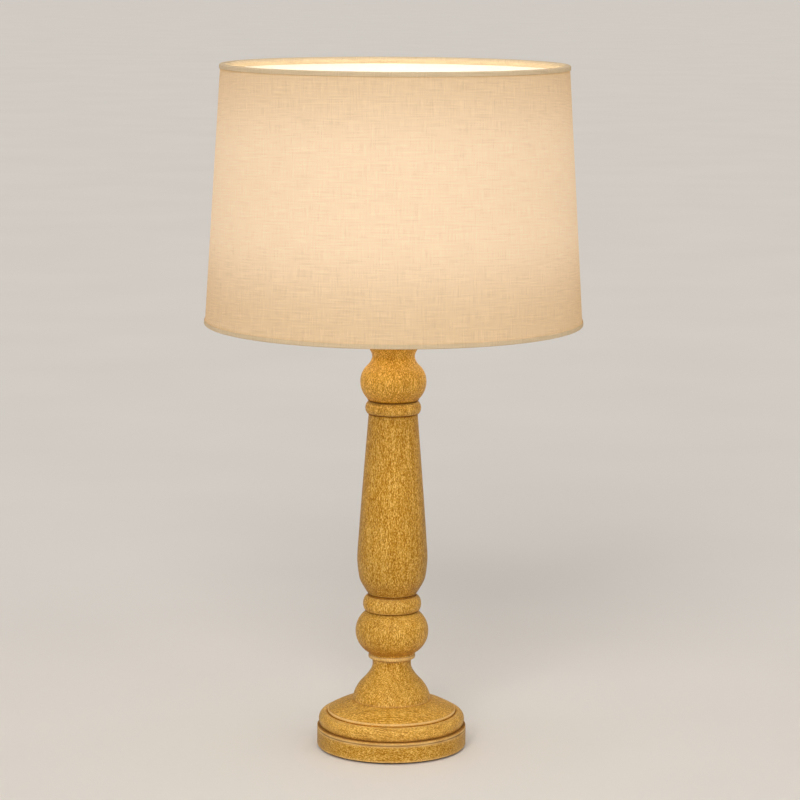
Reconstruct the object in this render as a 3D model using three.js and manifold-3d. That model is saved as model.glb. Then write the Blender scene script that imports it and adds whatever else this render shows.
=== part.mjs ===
// A table lamp: a turned oak stand clamped on a threaded tube, a lampholder with a push-bar
// switch, a screw-in bulb, and a tapered fabric shade that a shade ring holds to the lampholder.
// Millimetres, +Z up. The origin is the middle of the underside, and the lamp's axis is Z.
import * as THREE from 'three';
import { mergeVertices } from 'three/addons/utils/BufferGeometryUtils.js';
import Module from 'manifold-3d';

const wasm = await Module();
wasm.setup();

// ---------- driving dimensions ----------
const GAP = 0.3; // between touching pieces

// turned stand
const BASE_RADIUS = 70;
const FELT_THICKNESS = 1.5;
const FELT_RADIUS = 66;
const HEIGHTS = {
  plinth: 18.8,
  moulding: 24.3,
  foot: 39.4,
  lowerBall: 45.6,
  lowerRing: 15.5,
  vase: 170.9,
  upperRing: 12,
  upperBall: 54.6,
};
const TUBE_RADIUS = 5; // M10 lamp thread
const TUBE_BORE = 4;
const TUBE_BOTTOM = 5; // height of the tube's lower end
const WOOD_BORE = TUBE_RADIUS + 0.5;
const RECESS_RADIUS = 55;
const RECESS_TOP = 15.8;
const BALLAST_RADIUS = 52;
const BALLAST_THICKNESS = 5;
const NUT_ACROSS_FLATS = 17;
const NUT_THICKNESS = 3;
const WASHER_THICKNESS = 1.5;

// cord outlet in the back of the plinth
const OUTLET_HEIGHT = 7.3;
const OUTLET_BORE = 3.3;
const OUTLET_BODY = 4.1;
const OUTLET_FLANGE = 5.6;

// lampholder, measured up from the top of the stand
const HOLDER_BOTTOM = 8;
const CAP_RADIUS = 21.5;
const CAP_WALL = 1.8;
const CAP_HEIGHT = 27;
const BAR_RADIUS = 2.5;
const BAR_LENGTH = 54;
const BAR_TRAVEL = 5;
const SKIRT_RADIUS = 19.4;
const SKIRT_WALL = 2.4;
const SHOULDER_RADIUS = 24;
const SHOULDER_HEIGHT = 41; // the face that the shade rests on
const SKIRT_TOP = 70;

// bulb with an E27 cap
const BULB_CAP_RADIUS = 13.2;
const BULB_RADIUS = 30;
const BULB_LENGTH = 107;
const BULB_CENTRE = 76.5; // height of the widest place above the contact
const GLASS = 1;

// shade: a cone between two wire rings
const SHADE_BOTTOM = 402;
const SHADE_TOP = 640;
const SHADE_BOTTOM_RADIUS = 175;
const SHADE_TOP_RADIUS = 160;
const TAPE = 0.6;
const HEM_OUTSIDE = 4.2;
const HEM_INSIDE = 6.5;
const COVER = 0.6;
const LINER = 0.4;
const WIRE_RADIUS = 1.4;
const ARM_RADIUS = 1.4;
const ARM_COUNT = 3;
const FITTER_HOLE = 21;
const FITTER_RADIUS = 26;
const FITTER_THICKNESS = 2;

// ---------- materials ----------
const material = (color, roughness, metalness = 0) =>
  new THREE.MeshStandardMaterial({ color, roughness, metalness });
const oak = material(0xcf9b57, 0.45);
const felt = material(0x3f4a3a, 0.95);
const steel = material(0xa9acae, 0.35, 1);
const castIron = material(0x4a4b4d, 0.6, 1);
const brass = material(0xc9a35a, 0.3, 1);
const blackPlastic = material(0x1e1d1c, 0.4);
const ceramic = material(0xe9e5da, 0.35);
const rubber = material(0x2a2725, 0.7);
const linen = material(0xe9d6b4, 0.9);
const linerFilm = material(0xfaf6ec, 0.5);
const whiteWire = material(0xe8e4dc, 0.4, 0.3);
const bulbGlass = material(0xfff4dc, 0.3);

// ---------- shape helpers ----------
const at = (radius, height) => new THREE.Vector2(radius, height);

// An outline in (radius, height), turned about Z. It goes anticlockwise and closes on itself.
function turned(outline, sides = 24) {
  const points = [...outline, outline[0].clone()];
  const geometry = new THREE.LatheGeometry(points, sides);
  geometry.rotateX(Math.PI / 2);
  return geometry;
}

// A part of an ellipse as points, with its angles in degrees from the outward radius.
function bulge(radius, height, across, up, from, to, steps = 6) {
  const curve = new THREE.EllipseCurve(
    radius, height, across, up,
    THREE.MathUtils.degToRad(from), THREE.MathUtils.degToRad(to), to < from,
  );
  return curve.getPoints(steps);
}

// A turned section with a bore: its side goes from bottom to top.
const bored = (side, bore, sides = 24) => {
  const low = side[0].y;
  const high = side[side.length - 1].y;
  return turned([at(bore, low), ...side, at(bore, high)], sides);
};

const tubeBetween = (inner, outer, low, high, sides = 24) =>
  bored([at(outer, low), at(outer, high)], inner, sides);

// A solid of revolution without a bore.
const solidTurned = (side, sides = 16) =>
  turned([at(0, side[0].y), ...side, at(0, side[side.length - 1].y)], sides);

// A rod along one axis, given by its two ends.
function rod(radius, start, end, sides = 16) {
  const along = new THREE.Vector3().subVectors(end, start);
  const geometry = new THREE.CylinderGeometry(radius, radius, along.length(), sides);
  const turn = new THREE.Quaternion().setFromUnitVectors(
    new THREE.Vector3(0, 1, 0), along.clone().normalize(),
  );
  geometry.applyQuaternion(turn);
  const middle = new THREE.Vector3().addVectors(start, end).multiplyScalar(0.5);
  geometry.translate(middle.x, middle.y, middle.z);
  return geometry;
}

function toSolid(geometry) {
  const bare = geometry.clone();
  bare.deleteAttribute('normal');
  bare.deleteAttribute('uv');
  const merged = mergeVertices(bare, 1e-4);
  return new wasm.Manifold(new wasm.Mesh({
    numProp: 3,
    vertProperties: new Float32Array(merged.attributes.position.array),
    triVerts: new Uint32Array(merged.index.array),
  }));
}

// body with each of the tools cut out of it
function cut(body, ...tools) {
  let solid = toSolid(body);
  for (const tool of tools) {
    solid = solid.subtract(toSolid(tool));
  }
  const mesh = solid.getMesh();
  const geometry = new THREE.BufferGeometry();
  geometry.setAttribute('position', new THREE.BufferAttribute(mesh.vertProperties, 3));
  geometry.setIndex(new THREE.BufferAttribute(mesh.triVerts, 1));
  geometry.computeVertexNormals();
  return geometry;
}

const lamp = new THREE.Group();

function add(name, geometry, look, parent = lamp) {
  const mesh = new THREE.Mesh(geometry, look);
  mesh.name = name;
  parent.add(mesh);
  return mesh;
}

// ---------- turned stand ----------
// Each function gives a section's side from its own bottom, at height 0, up to its top.

function plinthSide() {
  const height = HEIGHTS.plinth;
  const groove = { height: height - 2.7, radius: 0.7 };
  return [
    at(BASE_RADIUS - 1, 0),
    at(BASE_RADIUS, 1),
    ...bulge(BASE_RADIUS, groove.height, groove.radius, groove.radius, 270, 90, 2),
    at(BASE_RADIUS, height - 0.8),
    at(BASE_RADIUS - 0.8, height),
  ];
}

function mouldingSide() {
  const torus = { radius: 62.3, height: 5.4, across: 6.2, up: 7.2 };
  const step = { radius: 60.2, bottom: 12.6, top: 14.6 };
  const slope = new THREE.QuadraticBezierCurve(
    at(step.radius - 1, step.top + 0.5), at(51, 20.4), at(37.4, HEIGHTS.moulding),
  );
  return [
    ...bulge(torus.radius, torus.height, torus.across, torus.up, -48.6, 90, 6),
    at(step.radius, step.bottom),
    at(step.radius, step.top),
    ...slope.getPoints(2),
  ];
}

// A bell: it rounds over at its lower edge and hollows into the neck.
function footSide() {
  const side = new THREE.SplineCurve([
    at(36.6, 0.8), at(35.9, 3.8), at(33.8, 9.4), at(30, 15.3), at(24.6, 21.1),
    at(20.3, 26.9), at(18.3, 31.5), at(18.1, 36), at(18.6, HEIGHTS.foot),
  ]);
  return [at(36.3, 0), ...side.getPoints(10)];
}

// A ball on a narrow collar.
function lowerBallSide() {
  const collar = { radius: 22, height: 3.5 };
  const ball = { radius: 9.5, height: 25.8, across: 24.7, up: 23.6 };
  return [
    at(collar.radius - 0.6, 0),
    at(collar.radius, 0.8),
    at(collar.radius, collar.height - 0.6),
    at(collar.radius - 0.2, collar.height + 0.4),
    ...bulge(ball.radius, ball.height, ball.across, ball.up, -58, 57, 9),
  ];
}

function lowerRingSide() {
  const bead = { radius: 21.7, height: 6, across: 5.6, up: 8.2 };
  return [
    ...bulge(bead.radius, bead.height, bead.across, bead.up, -47, 90, 7),
    at(bead.radius + 0.3, HEIGHTS.lowerRing),
  ];
}

function vaseSide() {
  const side = new THREE.SplineCurve([
    at(22.6, 0), at(26.5, 6.2), at(30.7, 14.8), at(32.6, 28), at(32.8, 38),
    at(31.7, 54), at(29.6, 84), at(26.8, 120), at(24.4, 150), at(22.8, HEIGHTS.vase),
  ]);
  return side.getPoints(12);
}

function upperRingSide() {
  const bead = { radius: 21.2, height: 4.9, across: 4.7, up: 6.5 };
  return [
    ...bulge(bead.radius, bead.height, bead.across, bead.up, -49, 85, 7),
    at(bead.radius + 0.6, HEIGHTS.upperRing),
  ];
}

// A ball whose top is a little tighter than its underside, then a hollow neck that flares out.
function upperBallSide() {
  const widest = 17.2;
  const under = { radius: 8.4, size: 22.3 };
  const above = { radius: 10.4, size: 20.3 };
  const cove = new THREE.QuadraticBezierCurve(at(24.3, 31.6), at(20.6, 35.1), at(19.7, 40.2));
  const flare = new THREE.QuadraticBezierCurve(at(19.7, 40.2), at(19.7, 44.6), at(24.9, 51));
  return [
    at(23.9, 0),
    ...bulge(under.radius, widest, under.size, under.size, -43, 0, 4),
    ...bulge(above.radius, widest, above.size, above.size, 0, 45, 4).slice(1),
    ...cove.getPoints(3).slice(1),
    ...flare.getPoints(3).slice(1),
    at(25.1, 53.6),
    at(24.4, HEIGHTS.upperBall),
  ];
}

const sections = [
  ['base_plinth', plinthSide, HEIGHTS.plinth],
  ['base_moulding', mouldingSide, HEIGHTS.moulding],
  ['column_foot', footSide, HEIGHTS.foot],
  ['lower_ball', lowerBallSide, HEIGHTS.lowerBall],
  ['lower_ring', lowerRingSide, HEIGHTS.lowerRing],
  ['column_vase', vaseSide, HEIGHTS.vase],
  ['upper_ring', upperRingSide, HEIGHTS.upperRing],
  ['upper_ball', upperBallSide, HEIGHTS.upperBall],
];

// The plinth is open below: the recess holds the ballast, the nut and the cord's way in.
function plinth(bottom) {
  const recess = solidTurned([
    at(RECESS_RADIUS, -1), at(RECESS_RADIUS, RECESS_TOP - bottom),
  ], 40);
  const hole = rod(
    OUTLET_BODY + GAP,
    new THREE.Vector3(0, RECESS_RADIUS - 5, OUTLET_HEIGHT - bottom),
    new THREE.Vector3(0, BASE_RADIUS + 5, OUTLET_HEIGHT - bottom),
  );
  return cut(bored(plinthSide(), WOOD_BORE, 40), recess, hole);
}

let level = FELT_THICKNESS + GAP;
for (const [name, side, height] of sections) {
  const isPlinth = name === 'base_plinth';
  const sides = name === 'base_moulding' ? 40 : 28;
  const geometry = isPlinth ? plinth(level) : bored(side(), WOOD_BORE, sides);
  add(name, geometry, oak).position.z = level;
  level += height + GAP;
}
const STAND_TOP = level - GAP;

add('base_felt', solidTurned([at(FELT_RADIUS, 0), at(FELT_RADIUS, FELT_THICKNESS)], 40), felt);

// ---------- tube, nuts and ballast ----------
function hexNut(bottom, thickness) {
  const outline = new THREE.Shape();
  for (let corner = 0; corner < 6; corner += 1) {
    const angle = (corner * Math.PI) / 3;
    const reach = NUT_ACROSS_FLATS / Math.sqrt(3);
    outline[corner ? 'lineTo' : 'moveTo'](reach * Math.cos(angle), reach * Math.sin(angle));
  }
  outline.holes.push(new THREE.Path().absarc(0, 0, TUBE_RADIUS + GAP, 0, 2 * Math.PI));
  const geometry = new THREE.ExtrudeGeometry(outline, {
    depth: thickness,
    bevelEnabled: false,
    curveSegments: 12,
  });
  geometry.translate(0, 0, bottom);
  return geometry;
}

const BALLAST_BOTTOM = RECESS_TOP - GAP - BALLAST_THICKNESS;
const WASHER_BOTTOM = BALLAST_BOTTOM - GAP - WASHER_THICKNESS;
const LOWER_NUT_BOTTOM = WASHER_BOTTOM - GAP - NUT_THICKNESS;
const TOP_PLATE = 3;
const TOP_PLATE_RADIUS = 22;
const UPPER_NUT_BOTTOM = STAND_TOP + GAP + TOP_PLATE + GAP;
const HOLDER = STAND_TOP + HOLDER_BOTTOM;

add('ballast_disc', tubeBetween(
  TUBE_RADIUS + GAP, BALLAST_RADIUS, BALLAST_BOTTOM, BALLAST_BOTTOM + BALLAST_THICKNESS, 40,
), castIron);
add('lower_washer', tubeBetween(
  TUBE_RADIUS + GAP, 14, WASHER_BOTTOM, WASHER_BOTTOM + WASHER_THICKNESS,
), steel);
add('lower_nut', hexNut(LOWER_NUT_BOTTOM, NUT_THICKNESS), steel);
add('threaded_tube', tubeBetween(TUBE_BORE, TUBE_RADIUS, TUBE_BOTTOM, HOLDER + 7.5, 24), steel);
add('top_plate', bored([
  at(TOP_PLATE_RADIUS - 0.5, STAND_TOP + GAP),
  at(TOP_PLATE_RADIUS, STAND_TOP + GAP + 0.5),
  at(TOP_PLATE_RADIUS, STAND_TOP + GAP + 1.6),
  at(TOP_PLATE_RADIUS - 2, STAND_TOP + GAP + TOP_PLATE),
], TUBE_RADIUS + GAP), brass);
add('upper_nut', hexNut(UPPER_NUT_BOTTOM, NUT_THICKNESS), brass);

// ---------- cord outlet ----------
// The bushing's axis is +Y, through the plinth's wall, with its flange outside.
function outletBushing() {
  const inside = RECESS_RADIUS - 1;
  const wall = BASE_RADIUS + GAP;
  const geometry = bored([
    at(OUTLET_BODY, inside),
    at(OUTLET_BODY, wall),
    at(OUTLET_FLANGE, wall),
    at(OUTLET_FLANGE, wall + 1),
    at(OUTLET_FLANGE - 0.8, wall + 1.8),
  ], OUTLET_BORE, 16);
  geometry.rotateX(-Math.PI / 2);
  geometry.translate(0, 0, OUTLET_HEIGHT);
  return geometry;
}
add('cord_bushing', outletBushing(), rubber);

// ---------- lampholder ----------
const holder = new THREE.Group();
holder.position.z = HOLDER;
lamp.add(holder);

const BAR_HEIGHT = 14.5;
const SCREW_HEIGHT = 3.5;

function holderCap() {
  const inner = CAP_RADIUS - CAP_WALL;
  const boss = { radius: 9, height: 6 };
  const outside = new THREE.QuadraticBezierCurve(
    at(boss.radius + 1, boss.height), at(CAP_RADIUS, boss.height), at(CAP_RADIUS, 12),
  );
  const inside = new THREE.QuadraticBezierCurve(
    at(inner, 12.5), at(inner, boss.height + 2), at(boss.radius, boss.height + 2),
  );
  const shell = turned([
    at(TUBE_RADIUS + GAP, 0),
    at(boss.radius - 0.8, 0),
    at(boss.radius, 0.8),
    at(boss.radius, boss.height - 0.5),
    ...outside.getPoints(4),
    at(CAP_RADIUS, CAP_HEIGHT),
    at(inner, CAP_HEIGHT),
    ...inside.getPoints(4),
    at(TUBE_RADIUS + GAP, boss.height + 2),
  ]);
  const far = CAP_RADIUS + 5;
  const barHole = rod(
    BAR_RADIUS + 0.5, new THREE.Vector3(-far, 0, BAR_HEIGHT), new THREE.Vector3(far, 0, BAR_HEIGHT),
  );
  const screwHole = rod(
    1.8, new THREE.Vector3(0, 2, SCREW_HEIGHT), new THREE.Vector3(0, 14, SCREW_HEIGHT), 12,
  );
  return cut(shell, barHole, screwHole);
}

function switchBlock() {
  const body = solidTurned([at(12, 9.3), at(17.5, 12), at(17.5, 20.5)], 24);
  const barWay = rod(
    BAR_RADIUS + 0.4, new THREE.Vector3(-25, 0, BAR_HEIGHT), new THREE.Vector3(25, 0, BAR_HEIGHT),
  );
  return cut(body, barWay);
}

// The push bar lies along X. At rest it stands out further at -X.
function pushBar() {
  const start = -(BAR_LENGTH + BAR_TRAVEL) / 2;
  const geometry = solidTurned([
    at(BAR_RADIUS - 0.7, start),
    at(BAR_RADIUS, start + 0.8),
    at(BAR_RADIUS, start + BAR_LENGTH - 0.8),
    at(BAR_RADIUS - 0.7, start + BAR_LENGTH),
  ], 16);
  geometry.rotateY(Math.PI / 2);
  geometry.translate(0, 0, BAR_HEIGHT);
  return geometry;
}

function threadedSkirt() {
  const inner = SKIRT_RADIUS - SKIRT_WALL;
  const shoulder = SHOULDER_HEIGHT - HOLDER_BOTTOM;
  const under = CAP_HEIGHT + GAP;
  return turned([
    at(inner, CAP_HEIGHT - 6),
    at(SKIRT_RADIUS - 0.1, CAP_HEIGHT - 6),
    at(SKIRT_RADIUS - 0.1, under),
    at(SHOULDER_RADIUS - 1, under),
    at(SHOULDER_RADIUS, under + 1),
    at(SHOULDER_RADIUS, shoulder),
    at(SKIRT_RADIUS, shoulder),
    at(SKIRT_RADIUS, SKIRT_TOP - HOLDER_BOTTOM - 1),
    at(SKIRT_RADIUS - 1, SKIRT_TOP - HOLDER_BOTTOM),
    at(inner, SKIRT_TOP - HOLDER_BOTTOM),
  ]);
}

const CARRIER_BOTTOM = 22.5;
const CARRIER_TOP = 28.5;
const TERMINAL_OFFSET = 9.5;

function contactCarrier() {
  const body = solidTurned([at(16.4, CARRIER_BOTTOM), at(16.4, CARRIER_TOP)], 24);
  const holes = [-TERMINAL_OFFSET, TERMINAL_OFFSET].map((y) => rod(
    2, new THREE.Vector3(0, y, CARRIER_BOTTOM - 2), new THREE.Vector3(0, y, CARRIER_TOP + 2), 12,
  ));
  return cut(body, ...holes);
}

function terminalScrew() {
  return solidTurned([
    at(2.8, CARRIER_BOTTOM - 1.8),
    at(2.8, CARRIER_BOTTOM - GAP),
    at(1.6, CARRIER_BOTTOM - GAP),
    at(1.6, CARRIER_TOP - 0.5),
  ], 12);
}

add('holder_cap', holderCap(), blackPlastic, holder);
add('cap_screw', rod(
  1.5, new THREE.Vector3(0, TUBE_RADIUS + GAP, SCREW_HEIGHT), new THREE.Vector3(0, 10, SCREW_HEIGHT), 12,
), steel, holder);
add('switch_block', switchBlock(), ceramic, holder);
add('push_bar', pushBar(), brass, holder);
add('threaded_skirt', threadedSkirt(), blackPlastic, holder);
add('contact_carrier', contactCarrier(), ceramic, holder);
add('screw_shell', tubeBetween(
  BULB_CAP_RADIUS + 0.4, BULB_CAP_RADIUS + 0.9, CARRIER_TOP + GAP, CARRIER_TOP + 23,
), brass, holder);
add('centre_contact', solidTurned([
  at(4, CARRIER_TOP + GAP),
  at(4, CARRIER_TOP + 1),
  at(2.5, CARRIER_TOP + 2),
], 12), brass, holder);
['terminal_screw_live', 'terminal_screw_neutral'].forEach((name, index) => {
  const screw = add(name, terminalScrew(), brass, holder);
  screw.position.y = index ? TERMINAL_OFFSET : -TERMINAL_OFFSET;
});

// ---------- bulb ----------
// Heights are measured up from the bulb's contact, which stands on the centre contact.
const bulb = new THREE.Group();
bulb.position.z = HOLDER + CARRIER_TOP + 2 + GAP;
lamp.add(bulb);

const BULB_CAP_TOP = 26;

function bulbCap() {
  const inner = BULB_CAP_RADIUS - 0.5;
  return turned([
    at(6.5, 4),
    at(7, 3.4),
    at(BULB_CAP_RADIUS - 0.4, 7),
    at(BULB_CAP_RADIUS, 8),
    at(BULB_CAP_RADIUS, BULB_CAP_TOP),
    at(inner, BULB_CAP_TOP),
    at(inner, 8.4),
    at(6.5, 4.6),
  ]);
}

// The glass is open at the bottom of its neck, inside the cap.
function bulbEnvelope() {
  const neck = BULB_CAP_RADIUS - 1;
  const outside = (inset) => [
    at(neck - inset, 20),
    at(neck - inset, BULB_CAP_TOP),
    ...new THREE.CubicBezierCurve(
      at(neck + 1.3 - inset, BULB_CAP_TOP + 3), at(neck + 5 - inset, BULB_CAP_TOP + 22),
      at(BULB_RADIUS - inset, BULB_CAP_TOP + 30), at(BULB_RADIUS - inset, BULB_CENTRE),
    ).getPoints(5),
    ...bulge(
      0, BULB_CENTRE, BULB_RADIUS - inset, BULB_LENGTH - BULB_CENTRE - inset, 0, 90, 5,
    ).slice(1),
  ];
  return turned([...outside(0), ...outside(GLASS).reverse()]);
}

function bulbStem() {
  return solidTurned([at(8, 19.5), at(6, 24), at(3, 32), at(2, 60), at(3.4, 63), at(3.4, 64.5)], 12);
}

const FILAMENTS = 4;
const FILAMENT_LOW = { radius: 5.6, height: 38 };
const FILAMENT_HIGH = { radius: 9, height: 74 };

function filament(index) {
  const angle = ((index + 0.5) * 2 * Math.PI) / FILAMENTS;
  const point = ({ radius, height }) => new THREE.Vector3(
    radius * Math.cos(angle), radius * Math.sin(angle), height,
  );
  return rod(0.9, point(FILAMENT_LOW), point(FILAMENT_HIGH), 8);
}

add('bulb_contact', solidTurned([at(3.2, 0), at(4.6, 0.8), at(4.6, 1.8)], 16), steel, bulb);
add('bulb_insulator', solidTurned([at(5.6, 2.1), at(6.1, 3.2), at(6, 5.5)], 16), blackPlastic, bulb);
add('bulb_cap', bulbCap(), steel, bulb);
add('bulb_envelope', bulbEnvelope(), bulbGlass, bulb);
add('bulb_stem', bulbStem(), bulbGlass, bulb);
for (let index = 0; index < FILAMENTS; index += 1) {
  add(`bulb_filament_${index + 1}`, filament(index), bulbGlass, bulb);
}

// ---------- shade ----------
const SLOPE = (SHADE_BOTTOM_RADIUS - SHADE_TOP_RADIUS) / (SHADE_TOP - SHADE_BOTTOM);
const shadeRadius = (height) => SHADE_BOTTOM_RADIUS - SLOPE * (height - SHADE_BOTTOM);
const COVER_INSET = TAPE + GAP;
const LINER_INSET = COVER_INSET + COVER + GAP;
const WIRE_INSET = LINER_INSET + LINER + GAP + WIRE_RADIUS;
const WIRE_EDGE = TAPE + GAP + WIRE_RADIUS; // from the shade's edge to the middle of its wire
const SHADE_SIDES = 36;

// A conical sheet between the hems, its outer face inset from the shade's widest surface.
function coneSheet(inset, thickness) {
  const low = SHADE_BOTTOM + TAPE + GAP;
  const high = SHADE_TOP - TAPE - GAP;
  return turned([
    at(shadeRadius(low) - inset - thickness, low),
    at(shadeRadius(low) - inset, low),
    at(shadeRadius(high) - inset, high),
    at(shadeRadius(high) - inset - thickness, high),
  ], SHADE_SIDES);
}

function wireRing(height) {
  const middle = shadeRadius(height) - WIRE_INSET;
  return turned(bulge(middle, height, WIRE_RADIUS, WIRE_RADIUS, 0, 360).slice(1), SHADE_SIDES);
}

// The tape is folded over the edge and the wire: up is 1 at the lower edge and -1 at the upper.
function hemTape(edge, up) {
  const wire = shadeRadius(edge + up * WIRE_EDGE) - WIRE_INSET;
  const inside = wire - WIRE_RADIUS - GAP - TAPE;
  const height = (distance) => edge + up * distance;
  const outer = (distance, inset = 0) => at(
    shadeRadius(height(distance)) - inset, height(distance),
  );
  const outline = [
    at(inside, height(HEM_INSIDE)),
    at(inside, height(0)),
    outer(0),
    outer(HEM_OUTSIDE),
    outer(HEM_OUTSIDE, TAPE),
    outer(TAPE, TAPE),
    at(inside + TAPE, height(TAPE)),
    at(inside + TAPE, height(HEM_INSIDE)),
  ];
  return turned(up > 0 ? outline : outline.reverse(), SHADE_SIDES);
}

const FITTER_BOTTOM = STAND_TOP + SHOULDER_HEIGHT + GAP;
const BOTTOM_WIRE = SHADE_BOTTOM + WIRE_EDGE;

// An arm rises from the bottom wire along the cone, bends, and runs level to the fitter.
function arm() {
  const bend = 9;
  const level = FITTER_BOTTOM + FITTER_THICKNESS / 2;
  const bottom = BOTTOM_WIRE + WIRE_RADIUS + GAP;
  const wall = (height) => shadeRadius(height) - WIRE_INSET;
  const place = (radius, height) => new THREE.Vector3(radius, 0, height);
  const path = new THREE.CurvePath();
  path.add(new THREE.LineCurve3(place(wall(bottom), bottom), place(wall(level - bend), level - bend)));
  path.add(new THREE.QuadraticBezierCurve3(
    place(wall(level - bend), level - bend), place(wall(level), level),
    place(wall(level) - bend, level),
  ));
  path.add(new THREE.LineCurve3(
    place(wall(level) - bend, level), place(FITTER_RADIUS + GAP, level),
  ));
  const section = new THREE.Shape().absarc(0, 0, ARM_RADIUS, 0, 2 * Math.PI);
  return new THREE.ExtrudeGeometry(section, {
    steps: 14,
    curveSegments: 4,
    bevelEnabled: false,
    extrudePath: path,
  });
}

add('shade_cover', coneSheet(COVER_INSET, COVER), linen);
add('shade_liner', coneSheet(LINER_INSET, LINER), linerFilm);
add('shade_bottom_wire', wireRing(BOTTOM_WIRE), whiteWire);
add('shade_top_wire', wireRing(SHADE_TOP - WIRE_EDGE), whiteWire);
add('shade_bottom_hem', hemTape(SHADE_BOTTOM, 1), linen);
add('shade_top_hem', hemTape(SHADE_TOP, -1), linen);
add('shade_fitter', tubeBetween(
  FITTER_HOLE, FITTER_RADIUS, FITTER_BOTTOM, FITTER_BOTTOM + FITTER_THICKNESS,
), whiteWire);
for (let index = 0; index < ARM_COUNT; index += 1) {
  const spider = add(`shade_arm_${index + 1}`, arm(), whiteWire);
  spider.rotation.z = Math.PI / 2 + (index * 2 * Math.PI) / ARM_COUNT;
}

// ---------- shade ring ----------
const RING_BOTTOM = FITTER_BOTTOM + FITTER_THICKNESS + GAP;
const RING_HEIGHT = 8;
const RING_FLANGE = { radius: 25, thickness: 2 };
const RING_GRIP_RADIUS = 23.3;
add('shade_ring', turned([
  at(SKIRT_RADIUS + 0.5, RING_BOTTOM),
  at(RING_FLANGE.radius, RING_BOTTOM),
  at(RING_FLANGE.radius, RING_BOTTOM + RING_FLANGE.thickness),
  at(RING_GRIP_RADIUS, RING_BOTTOM + RING_FLANGE.thickness + 0.6),
  at(RING_GRIP_RADIUS - 0.5, RING_BOTTOM + RING_HEIGHT),
  at(SKIRT_RADIUS + 0.5, RING_BOTTOM + RING_HEIGHT),
]), blackPlastic);

export default lamp;
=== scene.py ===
"""Looks of a table lamp with a turned oak stand and a lit drum shade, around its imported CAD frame.

Outlines are (radius, height) in millimetres, as in the CAD source; meshes are in metres.
"""
import math

import bpy
import numpy as np
from mathutils import Matrix, Vector


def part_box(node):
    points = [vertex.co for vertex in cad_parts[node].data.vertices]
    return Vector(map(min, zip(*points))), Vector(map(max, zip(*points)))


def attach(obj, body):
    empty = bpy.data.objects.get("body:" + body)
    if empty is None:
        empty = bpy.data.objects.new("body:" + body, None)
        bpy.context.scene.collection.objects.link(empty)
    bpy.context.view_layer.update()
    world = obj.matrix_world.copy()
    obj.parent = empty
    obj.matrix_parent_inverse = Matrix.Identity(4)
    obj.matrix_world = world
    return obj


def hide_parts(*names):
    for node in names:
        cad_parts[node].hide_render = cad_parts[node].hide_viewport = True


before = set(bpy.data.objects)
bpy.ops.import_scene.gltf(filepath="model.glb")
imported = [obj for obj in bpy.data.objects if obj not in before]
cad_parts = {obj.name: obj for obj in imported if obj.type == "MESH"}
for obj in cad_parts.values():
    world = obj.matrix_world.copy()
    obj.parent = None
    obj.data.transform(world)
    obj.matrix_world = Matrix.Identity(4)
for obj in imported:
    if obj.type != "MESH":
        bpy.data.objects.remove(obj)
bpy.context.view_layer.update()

MM = 0.001
TAU = 2 * math.pi
GAP = 0.3  # between touching pieces, in mm


# ---- levels taken from the frame
def low(node):
    """The height of a node's bottom, in mm."""
    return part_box(node)[0].z / MM


def high(node):
    """The height of a node's top, in mm."""
    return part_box(node)[1].z / MM


def ends_of(node):
    return low(node), high(node)


def reach(node):
    """A turned node's largest radius, in mm."""
    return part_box(node)[1].x / MM


def add_object(name, data):
    """A new object in the scene, with its data."""
    made = bpy.data.objects.new(name, data)
    bpy.context.scene.collection.objects.link(made)
    return made


# ---- camera and light
def make_camera():
    """A long lens, almost three metres away and a little above the shade's top."""
    distance, height = 2.661, 0.756
    pitch, yaw, roll = (math.radians(angle) for angle in (9.096, -0.135, 0.35))
    data = bpy.data.cameras.new("camera")
    data.sensor_width = 36
    data.lens = 130.7
    camera = add_object("camera", data)
    turn = Matrix.Rotation(yaw, 4, "Z") @ Matrix.Rotation(math.pi / 2 - pitch, 4, "X")
    camera.matrix_world = (
        Matrix.Translation((0, -distance, height)) @ turn @ Matrix.Rotation(roll, 4, "Z")
    )
    bpy.context.scene.camera = camera


# each light's azimuth (0 in front, positive to the right), elevation, spread, power and colour
LIGHTS = {
    "key": (-9, 30, 34, 1.65, (1.0, 0.98, 0.95)),
    "fill": (55, 30, 60, 0.22, (1.0, 0.98, 0.96)),
    "overhead": (0, 75, 90, 0.8, (1.0, 0.98, 0.96)),
}


def make_light():
    """Soft light from far away, and an even pale surround."""
    for name, (azimuth, elevation, spread, power, colour) in LIGHTS.items():
        data = bpy.data.lights.new(name, "SUN")
        data.angle = math.radians(spread)
        data.energy = power
        data.color = colour
        turn = Matrix.Rotation(math.radians(azimuth), 4, "Z")
        tilt = Matrix.Rotation(math.radians(90 - elevation), 4, "X")
        add_object(name, data).matrix_world = turn @ tilt
    world = bpy.data.worlds.new("studio")
    world.use_nodes = True
    background = world.node_tree.nodes["Background"]
    background.inputs["Color"].default_value = (0.95, 0.92, 0.89, 1)
    background.inputs["Strength"].default_value = 0.33
    bpy.context.scene.world = world
    bpy.context.scene.view_settings.view_transform = "Standard"


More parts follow.
